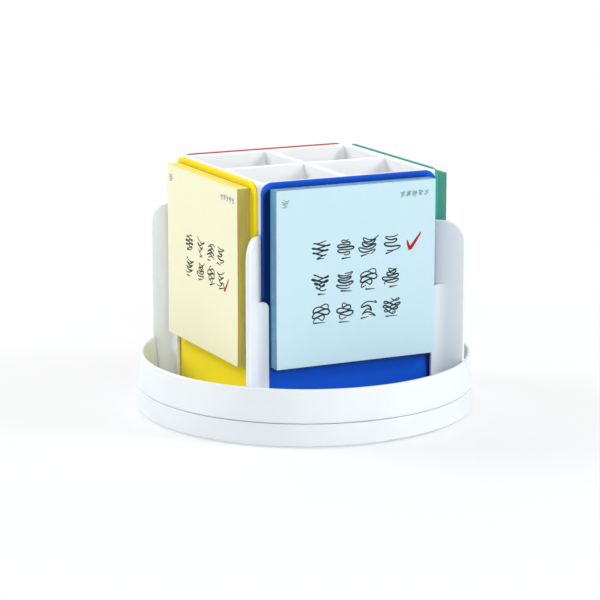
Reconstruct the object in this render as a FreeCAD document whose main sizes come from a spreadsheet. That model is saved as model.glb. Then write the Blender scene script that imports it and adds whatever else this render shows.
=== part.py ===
import FreeCAD, Part
import os
import re

import Sketcher

# Revolving desk organizer: a square pen column stands in a round tray that turns on a base.
# Each face of the column carries a coloured plate with a memo pad, held by lips on four corner fins.
# Frame: origin at the centre of the feet's rest plane, +Z up. The front plate faces -Y. Millimetres.

SIZES = {
    # Base shell
    "base_flare": 1.2,
    "foot_stand": 0.6,
    "base_floor": 2.6,
    "base_wall": 1.8,
    "base_top": 10.4,
    "base_edge": 0.8,
    "base_lip": 0.3,
    "rib_height": 2.0,
    "rib_thick": 1.6,
    "rib_gap": 1.0,
    "root_depth": 0.55,
    "foot_radius": 7.0,
    "foot_recess": 1.0,
    "foot_margin": 13.2,
    "foot_gap": 0.1,
    # Gaps between the base and the tray that turns on it
    "seam_gap": 0.3,
    "pan_gap": 0.6,
    "pan_clear": 2.9,
    # Ball bearing
    "race_width": 13.0,
    "race_gap": 1.5,
    "ball_margin": 9.5,
    "ball_radius": 2.0,
    "ball_gap": 0.15,
    "cage_gap": 0.3,
    "cage_band": 3.2,
    "race_screw_margin": 3.7,
    # Pivot
    "post_radius": 5.0,
    "post_flange": 1.5,
    "post_flange_radius": 9.0,
    "pivot_gap": 0.06,
    "lift_gap": 0.15,
    "bush_wall": 1.5,
    "bush_flange": 1.2,
    "bush_flange_width": 2.2,
    "bush_seat_gap": 0.02,
    "washer_radius": 9.5,
    "washer_thick": 1.2,
    "hub_wall": 3.0,
    "hub_height": 3.0,
    # Tray
    "rim_height": 25.3,
    "tray_wall": 1.5,
    "tray_corner": 3.0,
    "rim_round": 0.7,
    "tray_edge": 0.3,
    "pan_floor": 2.0,
    "plateau_floor": 2.4,
    "plateau_gap": 1.0,
    "plateau_wall": 2.0,
    "plateau_clear": 1.36,
    # Column
    "column_margin": 1.06,
    "column_wall": 1.7,
    "column_round": 2.0,
    "tab_size": 9.0,
    "tab_thick": 2.5,
    # Pen insert
    "insert_gap": 0.16,
    "insert_wall": 1.8,
    "insert_floor": 2.0,
    "insert_flange": 1.6,
    "divider": 3.0,
    "cell_corner": 1.0,
    "cell_edge": 0.5,
    "leg_radius": 3.5,
    "leg_gap": 1.0,
    "leg_length": 11.9,
    # Corner fins and their lips
    "fin_span": 13.811,
    "fin_thick": 2.0,
    "fin_inset": 0.4,
    "fin_top": 87.8,
    "fin_round": 9.0,
    "fin_edge": 0.4,
    "rim_clear": 0.1,
    "wall_clear": 0.06,
    "lip_gap": 0.19,
    "lip_thick": 1.4,
    "lip_overlap": 2.2,
    "lip_top": 59.7,
    "lip_round": 3.0,
    "lip_blend": 5.0,
    "tongue_margin": 7.0,
    "tongue_width": 8.0,
    "tongue_gap": 1.0,
    "slot_gap": 0.1,
    "pin_radius": 0.6,
    "pin_length": 6.0,
    "pin_gap": 0.05,
    # Plates
    "plate_margin": 3.5,
    "plate_head": 2.6,
    "plate_rise": 0.4,
    "plate_thick": 1.5,
    "plate_back_gap": 0.1,
    "plate_side_gap": 0.1,
    "plate_floor_gap": 0.1,
    "plate_corner": 5.0,
    "plate_edge": 0.4,
    # Memo pads
    "pad_width": 76.0,
    "pad_height": 77.0,
    "pad_thick": 6.1,
    "pad_base": 30.6,
    "backing_thick": 0.5,
    # Screws
    "screw_radius": 1.5,
    "screw_head_radius": 2.7,
    "screw_head": 1.7,
    "screw_bite": 5.5,
    "pivot_screw_radius": 2.0,
    "pivot_head_radius": 3.6,
    "pivot_head": 2.2,
    "pivot_bite": 5.5,
    "thread_gap": 0.05,
    "hole_gap": 0.15,
    "drive_width": 0.8,
    "drive_length": 3.2,
    "drive_depth": 0.9,
}

RIBS = 8
FEET = 6
BALLS = 12
SIDES = 4

# Pieces of geometry that agree within this length count as one
TOLERANCE = 0.01

# Turn from +X to the front left diagonal, in degrees
DIAGONAL_TURN = 225

# Sizes that follow from the pads outwards: pad, plate, column, fins, tray, base
PLATE_WIDTH = "(pad_width + 2 * plate_margin)"
HOLDER_HEIGHT = "(pad_base + pad_height + plate_head)"
COLUMN_HALF = f"({PLATE_WIDTH} / 2 + column_margin)"
CORNER_REACH = f"({COLUMN_HALF} * sqrt(2))"
ROUNDED_REACH = f"({CORNER_REACH} - column_round * (sqrt(2) - 1))"
RIM_RADIUS = f"({CORNER_REACH} + fin_span)"
BASE_RADIUS = f"({RIM_RADIUS} + base_flare)"
FOOT_CIRCLE = f"({BASE_RADIUS} - foot_margin)"
TONGUE_REACH = f"({RIM_RADIUS} - tongue_margin)"

# The raised middle of the tray fits inside the column, and the ball races fit under it
COLUMN_INNER = f"({COLUMN_HALF} - column_wall)"
PLATEAU_RADIUS = f"({COLUMN_INNER} - plateau_clear)"
PLATEAU_INNER = f"({PLATEAU_RADIUS} - plateau_wall)"
RACE_OUTER = f"({PLATEAU_INNER} - plateau_gap)"
BALL_CIRCLE = f"({RACE_OUTER} - ball_margin)"
RACE_SCREW_PLACE = f"(({RACE_OUTER} - race_screw_margin) * cos(45))"

# Heights and radii worked out from the sizes above
BASE_FLOOR_TOP = "(foot_stand + base_floor)"
TRAY_UNDERSIDE = "(base_top + seam_gap)"
PLATEAU_TOP = f"({TRAY_UNDERSIDE} + plateau_floor)"
PAN_UNDERSIDE = f"({BASE_FLOOR_TOP} + pan_clear)"
PAN_TOP = f"({PAN_UNDERSIDE} + pan_floor)"
SIDE_SLOPE = "(base_flare / (rim_height - foot_stand))"

RACE_SPACE = f"({TRAY_UNDERSIDE} - {BASE_FLOOR_TOP})"
RACE_THICK = f"(({RACE_SPACE} - race_gap) / 2)"
BALL_HEIGHT = f"({BASE_FLOOR_TOP} + {RACE_SPACE} / 2)"
UPPER_RACE_BASE = f"({TRAY_UNDERSIDE} - {RACE_THICK})"

BUSH_BORE = "(post_radius + pivot_gap)"
BUSH_RADIUS = f"({BUSH_BORE} + bush_wall)"
HUB_BORE = f"({BUSH_RADIUS} + bush_seat_gap)"
HUB_TOP = f"({PLATEAU_TOP} + hub_height)"
BUSH_TOP = f"({HUB_TOP} + bush_flange)"
POST_TOP = f"({BUSH_TOP} + lift_gap)"

INSERT_TOP = f"({HOLDER_HEIGHT} - plate_rise)"
COLUMN_TOP = f"({INSERT_TOP} - insert_flange)"
SEAT_HALF = f"({PLATE_WIDTH} / 2 + plate_side_gap)"
LEG_PLACE = f"({COLUMN_INNER} - leg_gap - leg_radius)"
LEG_BASE = f"({PAN_TOP} + tab_thick)"
INSERT_BASE = f"({LEG_BASE} + leg_length)"
INSERT_HALF = f"({COLUMN_INNER} - insert_gap)"
CELL_FLOOR = f"({INSERT_BASE} + insert_floor)"
CELL_FAR = f"({INSERT_HALF} - insert_wall)"

PLATE_BACK = f"({COLUMN_HALF} + plate_back_gap)"
PLATE_FRONT = f"({PLATE_BACK} + plate_thick)"
PLATE_BASE = f"({PAN_TOP} + plate_floor_gap)"
LIP_BACK = f"({PLATE_FRONT} + lip_gap)"
LIP_FRONT = f"({LIP_BACK} + lip_thick)"
LIP_FREE = f"({PLATE_WIDTH} / 2 - lip_overlap)"
FIN_REACH = f"({RIM_RADIUS} - fin_inset)"
FIN_STEP = "(rim_height + rim_clear)"
TONGUE_BASE = f"({BASE_FLOOR_TOP} + tongue_gap)"
PIN_HEIGHT = f"({PAN_UNDERSIDE} - pin_gap - pin_radius)"

# Head radius and head height of each family of screws
HEADS = {"screw": ("screw_head_radius", "screw_head"), "pivot_screw": ("pivot_head_radius", "pivot_head")}

doc = FreeCAD.newDocument("MemoOrganizer")
sheet = doc.addObject("Spreadsheet::Sheet", "Sizes")
for row, (alias, size) in enumerate(SIZES.items(), start=1):
    sheet.set(f"A{row}", alias)
    sheet.set(f"B{row}", str(size))
    sheet.setAlias(f"B{row}", alias)
doc.recompute()

NODES = {}


# Expressions and document helpers


def from_sheet(expression):
    """Put the sheet's name before each alias in an expression."""
    return re.sub(r"[a-z]\w*", lambda word: f"Sizes.{word[0]}" if word[0] in SIZES else word[0], expression)


def number(expression):
    """The value of an expression, in millimetres."""
    return float(sheet.evalExpression(from_sheet(expression)))


def bind(item, **properties):
    """Tie properties to expressions; a double underscore stands for a dot."""
    for name, expression in properties.items():
        item.setExpression(name.replace("__", "."), from_sheet(expression))


def new_body(label):
    """A body that is one node of the assembly."""
    body = doc.addObject("PartDesign::Body", label)
    body.Label = label
    NODES[label] = body
    return body


def origin_feature(body, role):
    """One of the body's own origin planes or axes."""
    return next(item for item in body.Origin.OriginFeatures if item.Role == role)


def new_sketch(body, name, height="0", role="XY_Plane"):
    """A sketch on an origin plane, moved along the plane's normal."""
    sketch = body.newObject("Sketcher::SketchObject", name)
    sketch.AttachmentSupport = [(origin_feature(body, role), "")]
    sketch.MapMode = "FlatFace"
    bind(sketch, AttachmentOffset__Base__z=height)
    doc.recompute()
    return sketch


def diagonal_sketch(body, name):
    """A sketch on the upright plane of the front left diagonal, in reach outwards and height."""
    sketch = new_sketch(body, name, role="XZ_Plane")
    turn = FreeCAD.Rotation(FreeCAD.Vector(0, 1, 0), DIAGONAL_TURN)
    sketch.AttachmentOffset = FreeCAD.Placement(FreeCAD.Vector(), turn)
    doc.recompute()
    return sketch


def place_point(sketch, geometry, vertex, across, up):
    """Fix one point of the sketch at two expressions."""
    for kind, axis, expression in (("DistanceX", -2, across), ("DistanceY", -1, up)):
        if expression == "0":
            sketch.addConstraint(Sketcher.Constraint("PointOnObject", geometry, vertex, axis))
            continue
        rule = Sketcher.Constraint(kind, -1, 1, geometry, vertex, number(expression))
        index = sketch.addConstraint(rule)
        sketch.setExpression(f"Constraints[{index}]", from_sheet(expression))


def outline(sketch, corners):
    """A closed polygon through corners given as pairs of expressions."""
    first = sketch.GeometryCount
    points = [FreeCAD.Vector(number(across), number(up), 0) for across, up in corners]
    for index, point in enumerate(points):
        sketch.addGeometry(Part.LineSegment(point, points[(index + 1) % len(points)]), False)
    for index, (across, up) in enumerate(corners):
        following = (index + 1) % len(corners)
        sketch.addConstraint(Sketcher.Constraint("Coincident", first + index, 2, first + following, 1))
        place_point(sketch, first + index, 1, across, up)


def rectangle(sketch, left, low, right, high):
    """A rectangle between two corners."""
    outline(sketch, [(left, low), (right, low), (right, high), (left, high)])


def circle(sketch, across, up, radius):
    """A circle with its centre at two expressions."""
    centre = FreeCAD.Vector(number(across), number(up), 0)
    index = sketch.addGeometry(Part.Circle(centre, FreeCAD.Vector(0, 0, 1), number(radius)), False)
    rule = sketch.addConstraint(Sketcher.Constraint("Radius", index, number(radius)))
    sketch.setExpression(f"Constraints[{rule}]", from_sheet(radius))
    place_point(sketch, index, 3, across, up)


def place(feature, across, up, height):
    """Put a primitive at three expressions."""
    bind(feature, Placement__Base__x=across, Placement__Base__y=up, Placement__Base__z=height)


def pad(body, sketch, length, centred=False):
    """Material on the sketch, along its normal or half to each side of it."""
    feature = body.newObject("PartDesign::Pad", f"{sketch.Name}_pad")
    feature.Profile = sketch
    feature.Midplane = centred
    bind(feature, Length=length)
    doc.recompute()
    return feature


def cut(body, sketch, depth, centred=False):
    """A pocket along the sketch's normal or to both sides of it, checked for having removed material."""
    before = body.Shape.Volume
    feature = body.newObject("PartDesign::Pocket", f"{sketch.Name}_cut")
    feature.Profile = sketch
    feature.Midplane = centred
    feature.Reversed = True
    bind(feature, Length=depth)
    doc.recompute()
    if not body.Shape.Volume < before:
        raise RuntimeError(f"{feature.Name} removed nothing")
    return feature


def revolve(body, sketch):
    """A full turn of the profile about the vertical axis."""
    feature = body.newObject("PartDesign::Revolution", f"{sketch.Name}_turn")
    feature.Profile = sketch
    feature.ReferenceAxis = (sketch, ["V_Axis"])
    feature.Angle = 360
    doc.recompute()
    return feature


def around(body, features, count):
    """Copies of features about the body's vertical axis."""
    pattern = body.newObject("PartDesign::PolarPattern", f"{features[0].Name}_ring")
    pattern.Originals = features
    pattern.Axis = (origin_feature(body, "Z_Axis"), [""])
    pattern.Angle = 360
    pattern.Occurrences = count
    body.Tip = pattern
    doc.recompute()
    return pattern


def round_edges(body, name, radius, chosen):
    """A fillet on every edge of the body that the test picks."""
    base = body.Tip
    edges = [f"Edge{index}" for index, edge in enumerate(base.Shape.Edges, start=1) if chosen(edge)]
    if not edges:
        raise RuntimeError(f"{name} found no edge")
    feature = body.newObject("PartDesign::Fillet", name)
    feature.Base = (base, edges)
    bind(feature, Radius=radius)
    doc.recompute()
    return feature


def turned(body, name, corners):
    """A ring or disc turned from a profile of radius and height."""
    sketch = new_sketch(body, name, role="XZ_Plane")
    outline(sketch, corners)
    return revolve(body, sketch)


def face_side(body, side):
    """Turn a body about the vertical axis, from the front to a side counted round from it."""
    turn = FreeCAD.Rotation(FreeCAD.Vector(0, 0, 1), 360 / SIDES * side)
    body.Placement = FreeCAD.Placement(FreeCAD.Vector(), turn)


# Edge tests


def near(first, second):
    """Whether two lengths agree."""
    return abs(first - second) < TOLERANCE


def is_level(edge, height):
    """Whether an edge lies wholly at one height."""
    return near(edge.BoundBox.ZMin, height) and near(edge.BoundBox.ZMax, height)


def is_upright(edge):
    """Whether an edge is a straight vertical line."""
    box = edge.BoundBox
    return near(box.XLength, 0) and near(box.YLength, 0) and not near(box.ZLength, 0)


def reach_of(edge):
    """Distance of an edge's middle from the vertical axis."""
    middle = edge.valueAt((edge.FirstParameter + edge.LastParameter) / 2)
    return (middle.x**2 + middle.y**2) ** 0.5


def is_ring(edge, radius, height):
    """Whether an edge is a level circle of one radius about the vertical axis."""
    return is_level(edge, height) and near(reach_of(edge), radius)


# Shared outlines


def outer_radius(height):
    """Radius of the outside of the base and tray, which taper as one cone."""
    return f"({BASE_RADIUS} - {SIDE_SLOPE} * ({height} - foot_stand))"


# The tray's pan lies inside the base's wall, and the inside of its wall leans out up to the rim
PAN_RADIUS = f"({outer_radius('base_top')} - base_wall - pan_gap)"
PAN_INNER = f"({PAN_RADIUS} - tray_wall)"
RIM_INNER = f"({RIM_RADIUS} - tray_wall)"
FIN_FOOT_REACH = f"({PAN_INNER} - wall_clear)"


def quarter_turns(corners):
    """The corners of one side, repeated on all four sides."""
    result = []
    for _ in range(SIDES):
        result += corners
        corners = [(f"-({up})", across) for across, up in corners]
    return result


def square(half):
    """Corners of a square about the axis."""
    return quarter_turns([(f"-({half})", f"-({half})")])


def along_diagonal(reach, aside):
    """A point on the front left diagonal, given by its reach and its offset to one side."""
    return (f"-({reach} - ({aside})) / sqrt(2)", f"-({reach} + ({aside})) / sqrt(2)")


def tongue_outline(gap):
    """Corners of the front left fin's tongue, or of its slot with a gap all round."""
    inner = f"{TONGUE_REACH} - tongue_width / 2 - {gap}"
    outer = f"{TONGUE_REACH} + tongue_width / 2 + {gap}"
    half = f"fin_thick / 2 + {gap}"
    return [
        along_diagonal(inner, f"-({half})"),
        along_diagonal(outer, f"-({half})"),
        along_diagonal(outer, half),
        along_diagonal(inner, half),
    ]


def mirrored_section(side):
    """A fin's section: the corners of its side towards -Y and their mirror images in the diagonal."""
    return side + [(up, across) for across, up in reversed(side)]


# Base


def make_base_shell():
    """Shallow dish with a tapered side, ribs round the race and recesses for the feet."""
    body = new_body("base_shell")
    inner_low = f"({outer_radius(BASE_FLOOR_TOP)} - base_wall)"
    inner_top = f"({outer_radius('base_top')} - base_wall)"
    turned(body, "dish", [
        ("0", "foot_stand"),
        (BASE_RADIUS, "foot_stand"),
        (outer_radius("base_top"), "base_top"),
        (inner_top, "base_top"),
        (inner_low, BASE_FLOOR_TOP),
        ("0", BASE_FLOOR_TOP),
    ])
    under, top = number("foot_stand"), number("base_top")
    foot, lip = number(BASE_RADIUS), number(outer_radius("base_top"))
    round_edges(body, "underside_round", "base_edge", lambda edge: is_ring(edge, foot, under))
    round_edges(body, "top_round", "base_lip", lambda edge: is_ring(edge, lip, top))
    rib = new_sketch(body, "rib", BASE_FLOOR_TOP)
    rib_end = f"{LEG_PLACE} * sqrt(2) - screw_head_radius - rib_gap"
    rectangle(rib, f"{RACE_OUTER} + rib_gap", "-rib_thick / 2", rib_end, "rib_thick / 2")
    around(body, [pad(body, rib, "rib_height")], RIBS)
    seat = new_sketch(body, "foot_seat", "foot_stand")
    circle(seat, FOOT_CIRCLE, "0", "foot_radius + foot_gap")
    around(body, [cut(body, seat, "foot_recess")], FEET)
    countersinks(body, "race_hole", RACE_SCREW_PLACE, RACE_SCREW_PLACE, "screw", SIDES)
    countersinks(body, "pivot_hole", "0", "0", "pivot_screw", 1)


def countersinks(body, name, across, up, family, count):
    """Countersunk holes up through the base floor."""
    radius = f"{family}_radius + hole_gap"
    head_radius, head = HEADS[family]
    before = body.Shape.Volume
    hole = body.newObject("PartDesign::SubtractiveCylinder", name)
    bind(hole, Radius=radius, Height="base_floor")
    place(hole, across, up, "foot_stand")
    sink = body.newObject("PartDesign::SubtractiveCone", f"{name}_sink")
    bind(sink, Radius1=f"{head_radius} + hole_gap", Radius2=radius, Height=head)
    place(sink, across, up, "foot_stand")
    doc.recompute()
    if not body.Shape.Volume < before:
        raise RuntimeError(f"{name} removed nothing")
    if count > 1:
        around(body, [hole, sink], count)


def make_feet():
    """Rubber discs in the underside of the base."""
    body = new_body("rubber_feet")
    disc = new_sketch(body, "disc")
    circle(disc, FOOT_CIRCLE, "0", "foot_radius")
    around(body, [pad(body, disc, "foot_stand + foot_recess")], FEET)


# Bearing


def make_race(label, low, high):
    """A flat ring with a ball groove and four screw holes."""
    body = new_body(label)
    inner = f"({RACE_OUTER} - race_width)"
    turned(body, f"{label}_section", [
        (inner, low),
        (RACE_OUTER, low),
        (RACE_OUTER, high),
        (inner, high),
    ])
    before = body.Shape.Volume
    groove = body.newObject("PartDesign::SubtractiveTorus", f"{label}_groove")
    bind(groove, Radius1=BALL_CIRCLE, Radius2="ball_radius + ball_gap")
    place(groove, "0", "0", BALL_HEIGHT)
    doc.recompute()
    if not body.Shape.Volume < before:
        raise RuntimeError(f"{label} has no groove")
    hole = new_sketch(body, f"{label}_hole", low)
    circle(hole, RACE_SCREW_PLACE, RACE_SCREW_PLACE, "screw_radius + thread_gap")
    around(body, [cut(body, hole, RACE_THICK)], SIDES)


def make_bearing():
    """Two races, the balls between them and the cage that spaces the balls."""
    make_race("lower_race", BASE_FLOOR_TOP, f"{BASE_FLOOR_TOP} + {RACE_THICK}")
    make_race("upper_race", UPPER_RACE_BASE, TRAY_UNDERSIDE)
    balls = new_body("bearing_balls")
    ball = balls.newObject("PartDesign::AdditiveSphere", "ball")
    bind(ball, Radius="ball_radius")
    place(ball, BALL_CIRCLE, "0", BALL_HEIGHT)
    doc.recompute()
    around(balls, [ball], BALLS)
    cage = new_body("ball_cage")
    low = f"{BASE_FLOOR_TOP} + {RACE_THICK} + cage_gap"
    band = new_sketch(cage, "cage_band", low)
    circle(band, "0", "0", f"{BALL_CIRCLE} + cage_band")
    circle(band, "0", "0", f"{BALL_CIRCLE} - cage_band")
    pad(cage, band, "race_gap - 2 * cage_gap")
    hole = new_sketch(cage, "cage_hole", low)
    circle(hole, BALL_CIRCLE, "0", "ball_radius + ball_gap")
    around(cage, [cut(cage, hole, "race_gap")], BALLS)


# Pivot


def make_pivot():
    """Shouldered post on the base, bush in the tray's hub and washer on top of the post."""
    post = new_body("pivot_post")
    bore = "(pivot_screw_radius + thread_gap)"
    turned(post, "post_section", [
        (bore, BASE_FLOOR_TOP),
        ("post_flange_radius", BASE_FLOOR_TOP),
        ("post_flange_radius", f"{BASE_FLOOR_TOP} + post_flange"),
        ("post_radius", f"{BASE_FLOOR_TOP} + post_flange"),
        ("post_radius", POST_TOP),
        (bore, POST_TOP),
    ])
    bush = new_body("hub_bush")
    flange = f"{BUSH_RADIUS} + bush_flange_width"
    turned(bush, "bush_section", [
        (BUSH_BORE, TRAY_UNDERSIDE),
        (BUSH_RADIUS, TRAY_UNDERSIDE),
        (BUSH_RADIUS, HUB_TOP),
        (flange, HUB_TOP),
        (flange, BUSH_TOP),
        (BUSH_BORE, BUSH_TOP),
    ])
    washer = new_body("pivot_washer")
    ring = new_sketch(washer, "washer_ring", POST_TOP)
    circle(ring, "0", "0", "washer_radius")
    circle(ring, "0", "0", "pivot_screw_radius + hole_gap")
    pad(washer, ring, "washer_thick")


# Screws


def make_screws(label, family, style, seat, length, spot, count):
    """Cross-head screws at one spot along both axes and round from it.

    The heads hang under the seat ("pan_up"), stand on it ("pan_down") or are sunk in it ("flush_up").
    """
    body = new_body(label)
    head_radius, head = HEADS[family]
    radius = f"{family}_radius"
    shank = body.newObject("PartDesign::AdditiveCylinder", f"{label}_shank")
    bind(shank, Radius=radius, Height=length)
    place(shank, spot, spot, f"{seat} - ({length})" if style == "pan_down" else seat)
    if style == "flush_up":
        cap = body.newObject("PartDesign::AdditiveCone", f"{label}_head")
        bind(cap, Radius1=head_radius, Radius2=radius, Height=head)
    else:
        cap = body.newObject("PartDesign::AdditiveCylinder", f"{label}_head")
        bind(cap, Radius=head_radius, Height=head)
    place(cap, spot, spot, f"{seat} - {head}" if style == "pan_up" else seat)
    slot_base = {"flush_up": seat, "pan_up": f"{seat} - {head}", "pan_down": f"{seat} + {head} - drive_depth"}
    features = [shank, cap]
    long_side, short_side = "drive_length", "drive_width"
    for name, wide, deep in (("across", long_side, short_side), ("along", short_side, long_side)):
        slot = body.newObject("PartDesign::SubtractiveBox", f"{label}_drive_{name}")
        bind(slot, Length=wide, Width=deep, Height="drive_depth")
        place(slot, f"{spot} - {wide} / 2", f"{spot} - {deep} / 2", slot_base[style])
        features.append(slot)
    doc.recompute()
    if count > 1:
        around(body, features, count)


def make_all_screws():
    """Every group of screws, by what it fastens."""
    lower_bite = f"base_floor + {RACE_THICK} - hole_gap"
    upper_bite = f"plateau_floor + {RACE_THICK} - hole_gap"
    column_bite = "pan_floor + tab_thick + screw_bite"
    base_bite = "base_floor + pivot_bite"
    cap_bite = "washer_thick + pivot_bite"
    washer_top = f"({POST_TOP} + washer_thick)"
    make_screws("lower_race_screws", "screw", "flush_up", "foot_stand", lower_bite, RACE_SCREW_PLACE, SIDES)
    make_screws("upper_race_screws", "screw", "pan_down", PLATEAU_TOP, upper_bite, RACE_SCREW_PLACE, SIDES)
    make_screws("column_screws", "screw", "pan_up", PAN_UNDERSIDE, column_bite, LEG_PLACE, SIDES)
    make_screws("pivot_base_screw", "pivot_screw", "flush_up", "foot_stand", base_bite, "0", 1)
    make_screws("pivot_cap_screw", "pivot_screw", "pan_down", washer_top, cap_bite, "0", 1)


# Turning parts


def make_tray():
    """Round tray: rim, sunken pan, and a raised middle with a hub that covers the bearing."""
    body = new_body("tray")
    hub_radius = f"({HUB_BORE} + hub_wall)"
    turned(body, "tray_section", [
        (HUB_BORE, TRAY_UNDERSIDE),
        (PLATEAU_INNER, TRAY_UNDERSIDE),
        (PLATEAU_INNER, PAN_UNDERSIDE),
        (PAN_RADIUS, PAN_UNDERSIDE),
        (PAN_RADIUS, TRAY_UNDERSIDE),
        (outer_radius(TRAY_UNDERSIDE), TRAY_UNDERSIDE),
        (RIM_RADIUS, "rim_height"),
        (RIM_INNER, "rim_height"),
        (PAN_INNER, PAN_TOP),
        (PLATEAU_RADIUS, PAN_TOP),
        (PLATEAU_RADIUS, PLATEAU_TOP),
        (hub_radius, PLATEAU_TOP),
        (hub_radius, HUB_TOP),
        (HUB_BORE, HUB_TOP),
    ])
    under, floor, top = number(TRAY_UNDERSIDE), number(PAN_TOP), number("rim_height")
    outer, inner = number(outer_radius(TRAY_UNDERSIDE)), number(PAN_INNER)
    round_edges(body, "floor_round", "tray_corner", lambda edge: is_ring(edge, inner, floor))
    round_edges(body, "seam_round", "tray_edge", lambda edge: is_ring(edge, outer, under))
    round_edges(body, "rim_rounds", "rim_round", lambda edge: is_level(edge, top))
    for name, spot, low, depth in (
        ("race", RACE_SCREW_PLACE, TRAY_UNDERSIDE, "plateau_floor"),
        ("leg", LEG_PLACE, PAN_UNDERSIDE, "pan_floor"),
    ):
        hole = new_sketch(body, f"{name}_screw_hole", low)
        circle(hole, spot, spot, "screw_radius + hole_gap")
        around(body, [cut(body, hole, depth)], SIDES)
    slot = new_sketch(body, "tongue_slot", PAN_UNDERSIDE)
    outline(slot, tongue_outline("slot_gap"))
    around(body, [cut(body, slot, "pan_floor")], SIDES)


def make_column():
    """Square tube with rounded corners and screw tabs inside."""
    body = new_body("column")
    wall = new_sketch(body, "column_outline", PAN_TOP)
    outline(wall, square(COLUMN_HALF))
    pad(body, wall, f"{COLUMN_TOP} - {PAN_TOP}")
    inside = new_sketch(body, "column_inside", PAN_TOP)
    outline(inside, square(COLUMN_INNER))
    cut(body, inside, f"{COLUMN_TOP} - {PAN_TOP}")
    tab = new_sketch(body, "screw_tab", PAN_TOP)
    near_side, far_side = f"({COLUMN_INNER} - tab_size)", f"({COLUMN_INNER} + root_depth)"
    rectangle(tab, near_side, near_side, far_side, far_side)
    around(body, [pad(body, tab, "tab_thick")], SIDES)
    hole = new_sketch(body, "tab_hole", PAN_TOP)
    circle(hole, LEG_PLACE, LEG_PLACE, "screw_radius + hole_gap")
    around(body, [cut(body, hole, "tab_thick")], SIDES)
    corner = number(CORNER_REACH)
    top = number(COLUMN_TOP)
    round_edges(body, "corner_rounds", "column_round", lambda edge: is_outer_corner(edge, corner, top))


def is_outer_corner(edge, corner, top):
    """Whether an edge is one of the upright outer corners that reach the top."""
    return is_upright(edge) and near(reach_of(edge), corner) and near(edge.BoundBox.ZMax, top)


def make_pen_insert():
    """Four open pen cells with a flange over the column's top edge and legs that stand on its tabs."""
    body = new_body("pen_insert")
    box = new_sketch(body, "insert_box", INSERT_BASE)
    outline(box, square(INSERT_HALF))
    pad(body, box, f"{INSERT_TOP} - {INSERT_BASE}")
    flange = new_sketch(body, "insert_flange_outline", COLUMN_TOP)
    outline(flange, square(COLUMN_HALF))
    pad(body, flange, "insert_flange")
    cell = new_sketch(body, "pen_cell", CELL_FLOOR)
    rectangle(cell, "divider / 2", "divider / 2", CELL_FAR, CELL_FAR)
    around(body, [cut(body, cell, f"{INSERT_TOP} - {CELL_FLOOR}")], SIDES)
    leg = new_sketch(body, "leg", LEG_BASE)
    circle(leg, LEG_PLACE, LEG_PLACE, "leg_radius")
    around(body, [pad(body, leg, "leg_length")], SIDES)
    hole = new_sketch(body, "leg_hole", LEG_BASE)
    circle(hole, LEG_PLACE, LEG_PLACE, "screw_radius + thread_gap")
    around(body, [cut(body, hole, "screw_bite + thread_gap")], SIDES)
    floor, top = number(CELL_FLOOR), number(INSERT_TOP)
    far, corner = number(CELL_FAR), number(CORNER_REACH)
    round_edges(body, "cell_corners", "cell_corner", lambda edge: is_cell_corner(edge, far, floor))
    round_edges(body, "flange_corners", "column_round", lambda edge: is_outer_corner(edge, corner, top))
    round_edges(body, "top_edges", "cell_edge", lambda edge: is_level(edge, top))


def is_cell_corner(edge, far, floor):
    """Whether an edge is an upright corner of a pen cell, which stands on the cells' floor."""
    return is_upright(edge) and near(edge.BoundBox.ZMin, floor) and is_within(edge, far)


def is_within(edge, half):
    """Whether an edge lies inside a square about the axis."""
    box = edge.BoundBox
    return max(abs(box.XMin), abs(box.XMax), abs(box.YMin), abs(box.YMax)) < half + TOLERANCE


def make_fin(label, quarter):
    """Upright fin on a column corner, with a lip each side and a tongue below, turned by quarters."""
    body = new_body(label)
    side_step = "fin_thick / sqrt(2)"
    saddle = [
        (f"-{SEAT_HALF}", f"-({ROUNDED_REACH} * sqrt(2) - {SEAT_HALF})"),
        (f"-{SEAT_HALF}", f"-({SEAT_HALF} + {side_step})"),
    ]
    lip = [
        (f"-({LIP_BACK} - {side_step})", f"-{LIP_BACK}"),
        (f"-{LIP_FREE}", f"-{LIP_BACK}"),
        (f"-{LIP_FREE}", f"-{LIP_FRONT}"),
        (f"-({LIP_FRONT} - {side_step})", f"-{LIP_FRONT}"),
    ]
    section = new_sketch(body, f"{label}_section", PAN_TOP)
    outline(section, mirrored_section(saddle + lip + [along_diagonal(FIN_FOOT_REACH, "fin_thick / 2")]))
    pad(body, section, f"lip_top - {PAN_TOP}")
    corner, face = -number(f"{LIP_FRONT} - {side_step}"), -number(LIP_FRONT)
    floor, foot_reach = number(PAN_TOP), number(FIN_FOOT_REACH)
    round_edges(body, f"{label}_blend", "lip_blend", lambda edge: is_lip_root(edge, corner, face))
    heel = "(tray_corner + wall_clear)"
    round_edges(body, f"{label}_heel", heel, lambda edge: is_fin_end(edge, foot_reach, floor))
    blade = new_sketch(body, f"{label}_blade", FIN_STEP)
    outline(blade, mirrored_section(saddle + [along_diagonal(FIN_REACH, "fin_thick / 2")]))
    pad(body, blade, f"fin_top - {FIN_STEP}")
    wedge = diagonal_sketch(body, f"{label}_wedge")
    outline(wedge, [
        (FIN_FOOT_REACH, f"{PAN_TOP} + {heel}"),
        (f"{RIM_INNER} - wall_clear", FIN_STEP),
        (FIN_FOOT_REACH, FIN_STEP),
    ])
    pad(body, wedge, "fin_thick", centred=True)
    add_tongue(body, label)
    free, lip_top, fin_top = -number(LIP_FREE), number("lip_top"), number("fin_top")
    reach = number(FIN_REACH)
    round_edges(body, f"{label}_lip_tips", "lip_round", lambda edge: is_lip_tip(edge, free, lip_top))
    round_edges(body, f"{label}_top", "fin_round", lambda edge: is_fin_end(edge, reach, fin_top))
    root = number(f"{CORNER_REACH} + fin_thick / 2")
    round_edges(body, f"{label}_edges", "fin_edge", lambda edge: is_blade_edge(edge, root, lip_top))
    face_side(body, quarter)


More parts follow.
